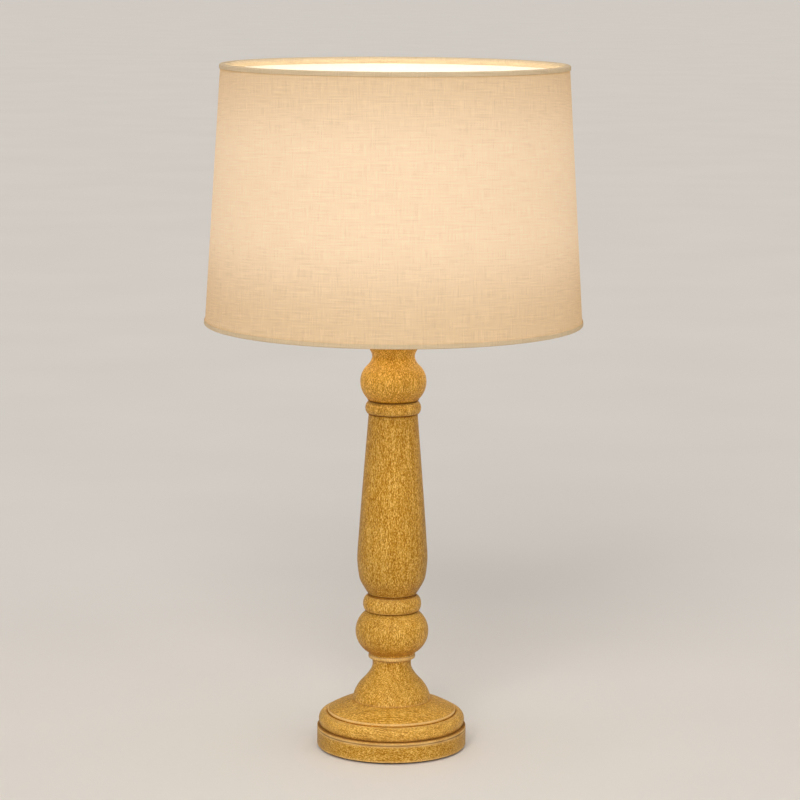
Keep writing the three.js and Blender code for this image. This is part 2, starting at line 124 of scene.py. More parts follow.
# ---- material building
class Material:
    """A material's node tree, with short calls for the nodes that the looks need."""

    def __init__(self, name):
        self.material = bpy.data.materials.new(name)
        self.material.use_nodes = True
        self.tree = self.material.node_tree
        self.surface = self.tree.nodes["Principled BSDF"]
        self.object_place = self.add("ShaderNodeTexCoord").outputs["Object"]

    def add(self, kind, **settings):
        node = self.tree.nodes.new(kind)
        for name, value in settings.items():
            setattr(node, name, value)
        return node

    def put(self, socket, value):
        if isinstance(value, bpy.types.NodeSocket):
            self.tree.links.new(value, socket)
        else:
            socket.default_value = value

    def math(self, operation, first, second=0.0):
        node = self.add("ShaderNodeMath", operation=operation)
        self.put(node.inputs[0], first)
        self.put(node.inputs[1], second)
        return node.outputs[0]

    def plus(self, first, second):
        return self.math("ADD", first, second)

    def minus(self, first, second):
        return self.math("SUBTRACT", first, second)

    def times(self, first, second):
        return self.math("MULTIPLY", first, second)

    def parts(self, vector):
        """A vector's X, Y and Z."""
        node = self.add("ShaderNodeSeparateXYZ")
        self.put(node.inputs[0], vector)
        return node.outputs

    def vector(self, *parts):
        node = self.add("ShaderNodeCombineXYZ")
        for socket, part in zip(node.inputs, parts):
            self.put(socket, part)
        return node.outputs[0]

    def span(self, value, start, end, low_value=0.0, high_value=1.0):
        """value's share of the way from start to end, smoothly, as low_value to high_value."""
        node = self.add("ShaderNodeMapRange", interpolation_type="SMOOTHSTEP")
        for socket, given in zip(node.inputs, (value, start, end, low_value, high_value)):
            self.put(socket, given)
        return node.outputs[0]

    def scaled(self, place, scale):
        node = self.add("ShaderNodeMapping")
        self.put(node.inputs["Vector"], place)
        self.put(node.inputs["Scale"], scale)
        return node.outputs[0]

    def noise(self, place, scale, detail, roughness=0.5):
        node = self.add("ShaderNodeTexNoise")
        self.put(node.inputs["Vector"], self.scaled(place, scale))
        self.put(node.inputs["Scale"], 1.0)
        self.put(node.inputs["Detail"], detail)
        self.put(node.inputs["Roughness"], roughness)
        return node.outputs["Fac"]

    def grain(self, scale, detail, roughness=0.5):
        return self.noise(self.object_place, scale, detail, roughness)

    def mix(self, share, first, second, blend="MIX"):
        node = self.add("ShaderNodeMix", data_type="RGBA", blend_type=blend)
        sockets = [socket for socket in node.inputs if socket.enabled]
        for socket, value in zip(sockets, (share, first, second)):
            self.put(socket, value)
        return next(socket for socket in node.outputs if socket.enabled)

    def ramp(self, share, *stops):
        node = self.add("ShaderNodeValToRGB")
        node.color_ramp.interpolation = "B_SPLINE"
        elements = node.color_ramp.elements
        while len(elements) < len(stops):
            elements.new(0.5)
        for element, (position, colour) in zip(elements, stops):
            element.position = position
            element.color = (*colour, 1)
        self.put(node.inputs["Fac"], share)
        return node.outputs["Color"]

    def attribute(self, name):
        return self.add("ShaderNodeAttribute", attribute_name=name).outputs["Fac"]

    def bump(self, height, distance, strength=1.0):
        node = self.add("ShaderNodeBump")
        self.put(node.inputs["Height"], height)
        self.put(node.inputs["Distance"], distance)
        self.put(node.inputs["Strength"], strength)
        self.put(self.surface.inputs["Normal"], node.outputs["Normal"])

    def set(self, **values):
        """Sets the shader's sockets: base_color is "Base Color", and so on."""
        for name, value in values.items():
            self.put(self.surface.inputs[name.replace("_", " ").title().replace("Ior", "IOR")], value)


# ---- outlines, in mm
def arc(radius, height, across, up, start, end, steps=24):
    """A part of an ellipse, with its angles in degrees from the outward radius."""
    angles = np.radians(np.linspace(start, end, steps + 1))
    return [(radius + across * math.cos(a), height + up * math.sin(a)) for a in angles]


def bow(radius, height, size, start, end, steps):
    """A part of a circle."""
    return arc(radius, height, size, size, start, end, steps)


def bezier(*controls, steps=20):
    """A Bezier curve of any degree."""
    points = []
    degree = len(controls) - 1
    for share in np.linspace(0, 1, steps + 1):
        weights = [
            math.comb(degree, i) * share**i * (1 - share) ** (degree - i) for i in range(degree + 1)
        ]
        points.append(tuple(sum(w * c[k] for w, c in zip(weights, controls)) for k in (0, 1)))
    return points


def spline(points, steps=8):
    """A uniform Catmull-Rom curve through all the points."""
    ends = [points[0], *points, points[-1]]
    found = []
    for before, start, end, after in zip(ends, ends[1:], ends[2:], ends[3:]):
        for t in np.arange(steps) / steps:
            found.append(
                tuple(
                    0.5 * (2 * b + (c - a) * t + (2 * a - 5 * b + 4 * c - d) * t**2
                           + (3 * b - a - 3 * c + d) * t**3)
                    for a, b, c, d in zip(before, start, end, after)
                )
            )
    return [*found, points[-1]]


def bored(side, bore):
    """A closed outline of a side that goes up, around a hole of that radius."""
    return [(bore, side[0][1]), *side, (bore, side[-1][1])]


def lifted(side, height):
    return [(radius, level + height) for radius, level in side]


# ---- meshes
def soften(mesh, angle=32):
    """Shades a mesh smooth, apart from edges sharper than the angle."""
    mesh.shade_smooth()
    mesh.set_sharp_from_angle(angle=math.radians(angle))


def piece(name, vertices, faces, body, look, nodes, smooth=32, place=None):
    """A mesh of vertices in mm, smooth up to an angle, that rides on a body in place of CAD nodes."""
    mesh = bpy.data.meshes.new(name)
    mesh.from_pydata((np.asarray(vertices, float) * MM).tolist(), [], faces)
    if place is not None:
        mesh.transform(place)
    mesh.validate()
    soften(mesh, smooth)
    made = add_object(name, mesh)
    mesh.materials.append(LOOKS[look])
    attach(made, body)
    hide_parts(*nodes)
    return made


def grid_faces(rows, columns, close_rows, close_columns, start=0):
    """Quads of a grid of points, row by row."""
    faces = []
    for row in range(rows if close_rows else rows - 1):
        for column in range(columns if close_columns else columns - 1):
            right, up = (column + 1) % columns, (row + 1) % rows
            corners = ((row, column), (row, right), (up, right), (up, column))
            faces.append(tuple(start + r * columns + c for r, c in corners))
    return faces


def turned(
    name, outline, body, look, nodes, sides=128, shape=None, smooth=32, place=None, joints=()
):
    """A closed outline turned about Z; it goes anticlockwise. Where it meets the axis it closes there.
    shape(radii, heights, angles) may change the radii, as for a thread or a knurl."""
    outline = np.array([p for i, p in enumerate(outline) if i == 0 or p != outline[i - 1]])
    on_axis = outline[:, 0] < 0.01
    rim = outline[~on_axis]
    angles = np.linspace(0, TAU, sides, endpoint=False)
    radii = np.repeat(rim[:, :1], sides, axis=1)
    heights = np.repeat(rim[:, 1:], sides, axis=1)
    if shape is not None:
        radii = shape(radii, heights, angles[None, :])
    vertices = np.stack([radii * np.cos(angles), radii * np.sin(angles), heights], -1).reshape(-1, 3)
    faces = grid_faces(len(rim), sides, not on_axis.any(), True)
    if on_axis.any():
        # the outline starts and ends on the axis: one pole below and one above
        poles = np.array([[0, 0, outline[0, 1]], [0, 0, outline[-1, 1]]])
        bottom, top = len(vertices), len(vertices) + 1
        vertices = np.vstack([vertices, poles])
        last = (len(rim) - 1) * sides
        for side in range(sides):
            following = (side + 1) % sides
            faces.append((bottom, following, side))
            faces.append((top, last + side, last + following))
    made = piece(name, vertices, faces, body, look, nodes, smooth, place)
    mark_edges(made, rim, sides, joints)
    return made


def mark_edges(made, rim, sides, joints):
    """Stores, for each place of a turned outline, how much it is lightened on raised edges (lacquer
    wear and painted highlight) and darkened in hollows, at joints and on faces that look down (stain
    and painted shade).
    joints are (place on the outline, darkening) pairs, for where the piece meets its neighbours: stain
    and painted shade."""
    before, after = np.roll(rim, 1, 0), np.roll(rim, -1, 0)
    back, ahead = rim - before, after - rim
    length = np.linalg.norm(back, axis=1) + np.linalg.norm(ahead, axis=1)
    turn = np.arctan2(
        back[:, 0] * ahead[:, 1] - back[:, 1] * ahead[:, 0],
        (back * ahead).sum(1),
    )
    bend = turn / np.maximum(length, 0.05)
    place = np.concatenate([[0], np.cumsum(np.linalg.norm(ahead[:-1], axis=1))])
    apart = place[:, None] - place[None, :]
    edge_reach, hollow_reach, joint_reach = 0.8, 0.55, 1.1
    # raised edges are made paler: lacquer wear and painted highlight
    edge_wear_and_highlight = (np.exp(-((apart / edge_reach) ** 2)) * np.clip(bend * 1.6, 0, 1)[None, :]).max(1)
    hollow = (np.exp(-((apart / hollow_reach) ** 2)) * np.clip(-bend * 1.6, 0, 1)[None, :]).max(1)
    # darkening at the joints (stain and painted shade), and painted shade on the faces that look down
    direction = (back + ahead) / np.maximum(np.linalg.norm(back + ahead, axis=1), 1e-6)[:, None]
    underside_shade = np.clip(direction[:, 0] - 0.1, 0, 1) ** 1.2 * 0.6
    joint_stain_and_shade = np.zeros(len(rim))
    for joint, stain in joints:
        distance = np.linalg.norm(rim - np.array(joint), axis=1)
        joint_stain_and_shade = np.maximum(joint_stain_and_shade, stain * np.exp(-((distance / joint_reach) ** 2)))
    # painted shade, partly stain: hollows, joints and faces that look down are darkened
    stain_and_shade = np.clip(np.maximum(hollow, np.maximum(underside_shade, joint_stain_and_shade)), 0, 1)
    edge_wear_and_highlight *= 1 - joint_stain_and_shade
    for name, values in (("edge_wear_and_highlight", edge_wear_and_highlight), ("stain_and_shade", stain_and_shade)):
        full = np.zeros(len(made.data.vertices))
        full[: len(rim) * sides] = np.repeat(values, sides)
        store(made, name, full)


def store(made, name, values):
    """Stores a number for each vertex, which the materials read by that name."""
    made.data.attributes.new(name, "FLOAT", "POINT").data.foreach_set("value", values)


def swept(name, path, radius, body, look, nodes, swell, sides=20):
    """A round rod along a path of points in mm, with domed ends. swell(share of the path) scales it."""
    path = [Vector(p) for p in path]
    rings = []
    side = None
    for i, point in enumerate(path):
        along = (path[min(i + 1, len(path) - 1)] - path[max(i - 1, 0)]).normalized()
        if side is None:
            side = along.orthogonal().normalized()
        side = (side - along * side.dot(along)).normalized()
        rings.append((point, along, side, along.cross(side)))
    caps = [(math.cos(a), math.sin(a)) for a in np.radians([80, 55, 30])]
    scales = [swell(i / (len(path) - 1)) for i in range(len(path))]
    profile = [(rings[0], wide * scales[0], -deep) for wide, deep in caps]
    profile += [(ring, scale, 0.0) for ring, scale in zip(rings, scales)]
    profile += [(rings[-1], wide * scales[-1], deep) for wide, deep in reversed(caps)]
    vertices = []
    for (point, along, across, up), wide, deep in profile:
        for angle in np.linspace(0, TAU, sides, endpoint=False):
            spoke = across * math.cos(angle) + up * math.sin(angle)
            vertices.append(point + along * (deep * radius * 0.5) + spoke * (wide * radius))
    faces = grid_faces(len(profile), sides, False, True)
    faces.append(tuple(reversed(range(sides))))
    faces.append(tuple(range(len(vertices) - sides, len(vertices))))
    return piece(name, vertices, faces, body, look, nodes, 50)


def helix(pitch, depth, start, end, run_out=1.5):
    """A shape for turned(): a thread of that pitch between two heights, fading at its ends."""

    def shape(radii, heights, angles):
        wave = np.cos(TAU * heights / pitch - angles)
        inside = np.clip((heights - start) / run_out, 0, 1) * np.clip((end - heights) / run_out, 0, 1)
        return radii + depth * (wave - 1) / 2 * inside

    return shape


def ribs(count, depth, start, end):
    """A shape for turned(): grip ribs between two heights."""

    def shape(radii, heights, angles):
        inside = (heights > start) & (heights < end) & (radii > radii.max() * 0.9)
        return radii - depth * (0.5 + 0.5 * np.cos(count * angles)) ** 2 * inside

    return shape


# ---- materials
def tinted(colour, factor):
    return tuple(min(1.0, part * factor) for part in colour)


def oak(name, grain_along_x):
    """Lacquered honey oak. The grain follows Z, or X on pieces turned from a flat board."""
    made = Material(name)
    x, y, z = made.parts(made.object_place)
    across, aside, along = (y, z, x) if grain_along_x else (x, y, z)
    cut = made.attribute("cut")

    # each piece is cut at another place of the log, and the log is not quite straight
    place = made.vector(
        *(made.plus(a, made.times(cut, s)) for a, s in ((across, 0.31), (aside, -0.17), (along, 0.53)))
    )
    sway = made.minus(made.noise(place, (9, 9, 3.5), 2), 0.5)
    ripple = made.minus(made.noise(place, (60, 60, 12), 2), 0.5)
    lean = made.plus(made.times(sway, 0.03), made.times(ripple, 0.004))

    # growth rings round a centre that lies outside the piece
    out = made.plus(made.minus(across, 0.055), lean)
    deep = made.plus(made.minus(aside, 0.075), made.times(lean, 0.6))
    ring = made.math("SQRT", made.plus(made.times(out, out), made.times(deep, deep)))
    rings = made.noise(made.vector(ring, made.times(cut, 0.7)), (520, 1, 1), 3, 0.6)

    # fibres, flecks and pores run along the grain
    fibres = made.noise(place, (1500, 1500, 170), 1)
    streaks = made.noise(place, (300, 300, 14), 2)
    flecks = made.noise(place, (1400, 1400, 560), 1)
    cells = made.add("ShaderNodeTexVoronoi", feature="F1")
    made.put(cells.inputs["Vector"], made.scaled(place, (900, 900, 260)))
    made.put(cells.inputs["Scale"], 1.0)
    early = made.span(rings, 0.40, 0.60, 0.35, 1.0)
    pores = made.times(made.span(cells.outputs["Distance"], 0.40, 0.12), early)

    tone = 0.5
    for pattern, weight in ((flecks, 1.6), (fibres, 1.0), (streaks, 0.45), (rings, 0.3)):
        tone = made.plus(tone, made.times(made.minus(pattern, 0.5), weight))
    colour = made.ramp(
        tone,
        (0.18, (0.27, 0.105, 0.004)),
        (0.42, (0.47, 0.225, 0.018)),
        (0.58, (0.55, 0.290, 0.034)),
        (0.84, (0.80, 0.51, 0.14)),
    )
    colour = made.mix(made.times(pores, 0.4), colour, (0.20, 0.075, 0.003, 1))
    cloud = made.span(made.noise(place, (22, 22, 6), 2), 0.3, 0.7, 0.92, 1.06)
    # each section's pale factor is its own tone and painted light: the upper ball is paler where the
    # bulb lights it
    cloud = made.times(cloud, made.attribute("tone_and_painted_light"))
    colour = made.mix(1.0, colour, cloud, "MULTIPLY")
    # darker in the grooves, at the joints and on faces that look down: stain and painted shade; paler
    # on raised edges: lacquer wear and painted highlight
    stain_and_shade = made.attribute("stain_and_shade")
    colour = made.mix(made.span(stain_and_shade, 0.0, 0.6), colour, (0.82, 0.62, 0.16, 1), "MULTIPLY")
    colour = made.mix(made.span(stain_and_shade, 0.5, 1.0, 0.0, 0.85), colour, (0.12, 0.04, 0.001, 1))
    edge_wear_and_highlight = made.times(made.attribute("edge_wear_and_highlight"), made.span(ripple, -0.2, 0.2, 0.4, 0.8))
    colour = made.mix(edge_wear_and_highlight, colour, (0.90, 0.62, 0.26, 1))
    made.set(
        base_color=colour,
        roughness=made.plus(
            made.span(streaks, 0.3, 0.7, 0.38, 0.50),
            made.plus(made.times(pores, 0.2), made.times(stain_and_shade, 0.3)),
        ),
        specular_ior_level=0.3,
        specular_tint=(1.0, 0.78, 0.45, 1),
    )
    made.bump(made.minus(made.plus(fibres, flecks), pores), 0.00035, 0.7)
    return made.material


def flat_pattern(made):
    """Where a point of the shade's cloth lay in its flat cut, in metres."""
    return made.add("ShaderNodeAttribute", attribute_name="flat_cut").outputs["Vector"]


GLOW_HEIGHT = 0.532
GLOW_PLATEAU = 0.03
GLOW_REACH = 0.118


def glow(made, evenly, beside_bulb):
    """The light that comes through the shade, stronger beside the bulb."""
    height = made.parts(made.object_place)[2]
    away = made.math("ABSOLUTE", made.minus(height, GLOW_HEIGHT))
    near = made.span(away, GLOW_PLATEAU, GLOW_REACH, 1.0, 0.0)
    extra = made.mix(1.0, (*beside_bulb, 1), near, "MULTIPLY")
    return made.mix(1.0, (*evenly, 1), extra, "ADD")


def linen(name, pale, evenly, beside_bulb):
    """A plain weave of uneven yarns, with light coming through it."""
    made = Material(name)
    place = flat_pattern(made)
    pitch = 0.00062
    sway = made.times(made.noise(place, (180, 180, 1), 2), 5.0)
    warp, weft = (
        made.math("ABSOLUTE", made.math("SINE", made.plus(made.times(part, TAU / pitch), sway)))
        for part in made.parts(place)[:2]
    )
    threads = made.plus(warp, weft)
    # each yarn is thicker and thinner along its length, and the thick places come in patches
    upright = made.minus(made.noise(place, (760, 55, 1), 1), 0.5)
    level = made.minus(made.noise(place, (42, 720, 1), 1), 0.5)
    patch = made.span(made.noise(place, (130, 130, 1), 2), 0.42, 0.62, 0.35, 1.6)
    other = made.span(made.noise(place, (70, 110, 1), 2), 0.42, 0.62, 1.6, 0.4)
    slub = made.plus(made.times(upright, patch), made.times(level, other))
    knot = made.span(made.noise(place, (330, 330, 1), 1), 0.70, 0.78, 0.0, 0.35)
    slub = made.minus(slub, knot)
    colour = made.ramp(
        made.plus(slub, 0.5),
        (0.20, tinted(pale, 0.91)),
        (0.50, pale),
        (0.80, tinted(pale, 1.07)),
    )
    colour = made.mix(made.times(threads, 0.05), colour, (0.30, 0.24, 0.16, 1))
    # a thick yarn lets less light through
    open_weave = made.plus(made.times(slub, 0.15), 1.0)
    light = made.mix(1.0, glow(made, evenly, beside_bulb), open_weave, "MULTIPLY")
    made.set(
        base_color=colour,
        roughness=made.span(slub, -0.3, 0.3, 0.95, 0.82),
        emission_color=light,
        emission_strength=1.0,
        sheen_weight=0.1,
        sheen_roughness=0.5,
    )
    made.bump(made.plus(threads, made.times(slub, -3.0)), 0.00022, 0.6)
    return made.material


def film(name):
    """The white film inside the shade, washed by the bulb's light."""
    made = Material(name)
    mottle = made.noise(flat_pattern(made), (90, 90, 1), 3)
    colour = made.ramp(mottle, (0.3, (0.68, 0.65, 0.58)), (0.7, (0.74, 0.71, 0.64)))
    light = glow(made, (0.10, 0.09, 0.07), (0.05, 0.045, 0.035))
    made.set(
        base_color=colour,
        roughness=made.span(mottle, 0.3, 0.7, 0.42, 0.55),
        emission_color=light,
        emission_strength=1.0,
    )
    made.bump(mottle, 0.0002, 0.3)
    return made.material


def metal(name, colour, roughness, wear=0.15, scratch=(500, 500, 30)):
    """Plated or solid metal with fine lines, darker stain and brighter patches."""
    made = Material(name)
    lines = made.grain(scratch, 3, 0.6)
    stain = made.grain((60, 60, 60), 3, 0.6)
    dark, bright = tinted(colour, 0.62), tinted(colour, 1.18)
    made.set(
        base_color=made.ramp(stain, (0.25, dark), (0.5, colour), (0.8, bright)),
        metallic=1.0,
        roughness=made.plus(
            made.span(lines, 0.3, 0.7, roughness - 0.06, roughness + 0.08),
            made.span(stain, 0.3, 0.8, wear, 0.0),
        ),
    )
    made.bump(lines, 0.00003, 0.5)
    return made.material


def moulded(name, colour, roughness, grain=900, speckle=0.12, coat=0.0):
    """Moulded plastic, rubber, glazed or coated stock: an even colour with a fine surface grain."""
    made = Material(name)
    fine = made.grain((grain, grain, grain), 2, 0.6)
    broad = made.grain((35, 35, 35), 3, 0.55)
    tone = made.plus(made.times(fine, 0.4), made.times(broad, 0.6))
    dark = tinted(colour, 1 - speckle)
    pale = tuple(min(1.0, c * (1 + speckle) + speckle * 0.03) for c in colour)
    made.set(
        base_color=made.ramp(tone, (0.35, dark), (0.5, colour), (0.65, pale)),
        roughness=made.span(broad, 0.3, 0.7, roughness - 0.05, roughness + 0.07),
        coat_weight=coat,
        coat_roughness=0.15,
    )
    made.bump(fine, 0.00006, 0.4)
    return made.material


def felted(name, colour):
    """Pressed wool: short fibres in every direction."""
    made = Material(name)
    one = made.grain((900, 160, 300), 3, 0.7)
    two = made.grain((160, 900, 300), 3, 0.7)
    fluff = made.math("MAXIMUM", one, two)
    made.set(
        base_color=made.ramp(fluff, (0.4, tinted(colour, 0.6)), (0.7, tinted(colour, 1.7))),
        roughness=made.span(fluff, 0.4, 0.7, 0.88, 1.0),
        sheen_weight=0.4,
    )
    made.bump(fluff, 0.0005, 0.8)
    return made.material


def lit_glass(name, colour, light, strength):
    """Frosted or coated glass that gives light."""
    made = Material(name)
    frost = made.grain((500, 500, 500), 2, 0.6)
    made.set(
        base_color=made.ramp(frost, (0.3, tinted(colour, 0.92)), (0.7, colour)),
        roughness=made.span(frost, 0.3, 0.7, 0.25, 0.4),
        emission_color=made.ramp(frost, (0.3, tinted(light, 0.94)), (0.7, light)),
        emission_strength=strength,
    )
    made.bump(frost, 0.00003, 0.4)
    return made.material


def floor_paint():
    made = Material("studio_floor")
    cloud = made.grain((3, 3, 3), 2)
    made.set(
        base_color=made.ramp(cloud, (0.3, (0.755, 0.72, 0.68)), (0.7, (0.785, 0.75, 0.71))),
        roughness=0.75,
    )
    return made.material


LOOKS = {
    "board": oak("oak_board", grain_along_x=True),
    "post": oak("oak_post", grain_along_x=False),
    "felt": felted("pressed_felt", (0.055, 0.055, 0.045)),
    "cast_iron": metal("oiled_cast_iron", (0.06, 0.06, 0.065), 0.5, 0.25, (200, 200, 200)),
    "steel": metal("zinc_steel", (0.55, 0.56, 0.57), 0.3),
    "brass": metal("polished_brass", (0.72, 0.49, 0.19), 0.22),
    "black_plastic": moulded("black_thermoplastic", (0.022, 0.021, 0.020), 0.36),
    "ceramic": moulded("unglazed_steatite", (0.74, 0.70, 0.62), 0.7, 700, 0.06),
    "rubber": moulded("black_rubber", (0.026, 0.024, 0.022), 0.68, 600, 0.18),
    "linen": linen("lit_linen", (0.59, 0.515, 0.405), (0.285, 0.128, 0.004), (0.172, 0.155, 0.135)),
    "tape": linen("linen_tape", (0.60, 0.50, 0.36), (0.13, 0.065, 0.004), (0.0, 0.0, 0.0)),
    "liner": film("white_styrene_film"),
    "white_wire": moulded("white_epoxy", (0.78, 0.75, 0.69), 0.34, 500, 0.05, 0.4),
    "bulb_glass": lit_glass("lit_opal_glass", (0.95, 0.9, 0.8), (1.0, 0.88, 0.70), 28.0),
    "filament": lit_glass("lit_phosphor", (1.0, 0.75, 0.35), (1.0, 0.66, 0.28), 20.0),
    "cap_metal": metal("nickel_cap", (0.62, 0.61, 0.58), 0.24, 0.1),
}


# ---- the turned stand
def plinth_side(height):
    radius = reach("base_plinth")
    groove = height - 2.7
    return [
        (radius - 1.0, 0),
        *bow(radius - 1, 1, 1, -80, 0, 6),
        *[(radius, level) for level in np.linspace(1.8, groove - 1.6, 10)],
        *bow(radius + 0.15, groove, 0.7, 258, 102, 10),
        *bow(radius - 0.9, height - 0.9, 0.9, 0, 90, 8),
    ]


def moulding_side(height):
    step = 60.2
    return [
        (65.9, -0.1),
        *arc(62.3, 5.4, 6.2, 7.2, -46, 84, 36),
        *bezier((62.4, 12.5), (60.6, 12.2), (step, 12.7), steps=5),
        *bow(step - 0.8, 14.2, 0.8, 0, 80, 6),
        *bezier((step - 1.2, 15.0), (51, 20.2), (37.4, height), steps=24),
    ]


def foot_side(height):
    return [
        (36.5, -0.2),
        *spline(
            [
                (36.6, 0.3), (35.9, 3.8), (33.8, 9.4), (30, 15.3), (24.6, 21.1),
                (20.3, 26.9), (18.3, 31.5), (18.1, 36), (18.5, height - 0.3),
            ],
            steps=6,
        ),
        (18.2, height),
    ]


def lower_ball_side(height):
    collar = 22
    return [
        (collar - 1.2, 0),
        *bow(collar - 1.2, 1.2, 1.2, -85, 0, 6),
        *bow(collar - 1.0, 2.5, 1.0, 0, 60, 6),
        *bezier((collar - 0.4, 3.6), (collar - 0.3, 4.5), (22.5, 5.6), steps=4),
        *arc(9.5, 25.8, 24.7, 23.6, -57.5, 56, 48),
        (22.9, height),
    ]


def lower_ring_side(height):
    return [
        (25.1, 0),
        *arc(21.7, 6.0, 5.6, 8.2, -45.5, 82, 36),
        (22.0, height - 0.6),
        (21.8, height),
    ]


def vase_side(height):
    return [
        (22.3, 0),
        *spline(
            [
                (22.8, 0.4), (26.5, 6.2), (30.7, 14.8), (32.6, 28), (32.8, 38),
                (31.7, 54), (29.6, 84), (26.8, 120), (24.4, 150), (22.8, height - 0.4),
            ],
            steps=8,
        ),
        (22.5, height),
    ]


def upper_ring_side(height):
    return [
        (23.9, 0),
        *arc(21.2, 4.9, 4.7, 6.4, -48, 82, 32),
        (21.8, height - 0.4),
        (21.6, height),
    ]


def upper_ball_side(height):
    widest = 17.2
    return [
        (23.7, 0),
        *bow(8.4, widest, 22.3, -44, 0, 22),
        *bow(10.4, widest, 20.3, 2, 43, 24),
        *bezier((24.7, 31.6), (20.6, 35.1), (19.7, 40.2), steps=12),
        *bezier((19.7, 40.6), (19.7, 44.6), (24.8, 50.8), steps=16),
        *arc(24.1, height - 2.6, 1.1, 1.4, -15, 0, 2),
        *bow(24.1, height - 1.1, 1.1, 0, 85, 6),
    ]


# each section's node and outline, how pale its wood is (its own tone, and painted light: the upper ball
# is paler where the bulb lights it), and the darkening at its lower and upper joint (stain and painted
# shade)
SECTIONS = (
    ("base_plinth", plinth_side, 0.98, 0.6, 0.8),
    ("base_moulding", moulding_side, 1.13, 1.0, 0.1),
    ("column_foot", foot_side, 1.09, 0.5, 0.8),
    ("lower_ball", lower_ball_side, 1.08, 0.8, 1.0),
    ("lower_ring", lower_ring_side, 1.06, 1.0, 1.0),
    ("column_vase", vase_side, 0.94, 1.0, 1.0),
    ("upper_ring", upper_ring_side, 1.05, 1.0, 1.0),
    ("upper_ball", upper_ball_side, 1.25, 1.0, 0.3),
)


BORE = 5.5
RECESS_RADIUS = 55
OUTLET_RADIUS = 4.4


def make_stand():
    for number, (node, side, tone_and_painted_light, low_stain_and_shade, high_stain_and_shade) in enumerate(SECTIONS):
        bottom, height = low(node), high(node) - low(node)
        outline = lifted(side(height), bottom)
        joints = ((outline[0], low_stain_and_shade), (outline[-1], high_stain_and_shade))
        is_base = node.startswith("base")
        if node == "base_plinth":
            outline = plinth_outline(outline)
        else:
            outline = bored(outline, BORE)
        made = turned(
            f"{node}_turned", outline, "stand", "board" if is_base else "post", [node],
            sides=192 if is_base else 144, joints=joints,
        )
        # the pale factor stored here is the wood's tone together with painted light
        for name, value in (("cut", number + 1), ("tone_and_painted_light", tone_and_painted_light)):
            store(made, name, np.full(len(made.data.vertices), float(value)))
        if node == "base_plinth":
            level = outlet_height()
            drill(made, (0, RECESS_RADIUS - 4, level), (0, 76, level), OUTLET_RADIUS)


def plinth_outline(side):
    """The plinth's side, closed round the recess that holds the ballast."""
    bottom, top = side[0][1], side[-1][1]
    ceiling = high("ballast_disc") + GAP
    return [
        *side,
        (BORE, top),
        (BORE, ceiling),
        *bow(RECESS_RADIUS - 1.5, ceiling - 1.5, 1.5, 90, 0, 5),
        (RECESS_RADIUS, bottom + 0.4),
        (RECESS_RADIUS + 0.4, bottom),
    ]


def outlet_height():
    return (low("cord_bushing") + high("cord_bushing")) / 2


def drill(made, start, end, radius, sides=48):
    """Cuts a round hole through a piece, between two points in mm."""
    start, end = Vector(start), Vector(end)
    across = (end - start).orthogonal().normalized()
    up = (end - start).normalized().cross(across)
    vertices = []
    for point in (start, end):
        for angle in np.linspace(0, TAU, sides, endpoint=False):
            spoke = across * math.cos(angle) + up * math.sin(angle)
            vertices.append(tuple((point + spoke * radius) * MM))
    faces = [tuple(reversed(range(sides))), tuple(range(sides, 2 * sides))]
    faces += grid_faces(2, sides, False, True)
    tool = add_object("drill", bpy.data.meshes.new("drill"))
    tool.data.from_pydata(vertices, [], faces)
    hole = made.modifiers.new("hole", "BOOLEAN")
    hole.object = tool
    hole.operation = "DIFFERENCE"
    hole.solver = "EXACT"
    with bpy.context.temp_override(object=made, active_object=made):
        bpy.ops.object.modifier_apply(modifier=hole.name)
    bpy.data.objects.remove(tool)
    soften(made.data)


def make_base_fittings():
    """The felt under the base and the bushing where the cord leaves."""
    bottom, top = ends_of("base_felt")
    radius = reach("base_felt")
    turned(
        "base_felt_disc",
        [
            (0, bottom),
            (radius - 0.4, bottom),
            *bow(radius - 0.5, bottom + 0.5, 0.5, -70, 0, 5),
            *bow(radius - 0.4, top - 0.4, 0.4, 0, 80, 5),
            (0, top),
        ],
        "stand", "felt", ["base_felt"], sides=160,
    )
    inside, outside = (corner.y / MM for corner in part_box("cord_bushing"))
    flange, bore, body = reach("cord_bushing"), 3.3, 4.1
    wall = outside - 1.8
    side = [
        *bow(bore + 0.4, inside + 0.4, 0.4, 180, 270, 4),
        *bow(body - 0.3, inside + 0.3, 0.3, -90, 0, 4),
        (body, wall),
        *bow(flange - 0.4, wall + 0.4, 0.4, -80, 0, 5),
        *bow(flange - 1.2, outside - 1.2, 1.2, 0, 80, 8),
        *bow(bore + 0.7, outside - 0.7, 0.7, 90, 180, 8),
    ]
    place = Matrix.Translation((0, 0, outlet_height() * MM)) @ Matrix.Rotation(-math.pi / 2, 4, "X")
    turned(
        "cord_bushing_ring", side, "stand", "rubber", ["cord_bushing"],
        sides=64, place=place,
    )


# ---- the lampholder
def hexagonal(flats, edge_radius, bottom, top):
    """A shape for turned(): six flats, with the corners chamfered at both faces."""
    half = flats / 2

    def shape(radii, heights, angles):
        from_middle = (angles + TAU / 12) % (TAU / 6) - TAU / 12
        flat = half / np.cos(from_middle)
        from_face = np.minimum(heights - bottom, top - heights)
        chamfer = edge_radius + from_face * 1.6
        return np.where(radii > half * 0.9, np.minimum(flat, chamfer), radii)

    return shape


def nut(name, node, look):
    flats, bore = 17, 5.2
    bottom, top = ends_of(node)
    outline = [
        (bore, bottom + 0.5),
        (bore + 0.5, bottom),
        *[(flats / 2, level) for level in np.linspace(bottom, top, 13)],
        (bore + 0.5, top),
        (bore, top - 0.5),
    ]
    shape = hexagonal(flats, flats / 2 + 0.1, bottom, top)
    turned(name, outline, "stand", look, [node], sides=144, shape=shape)


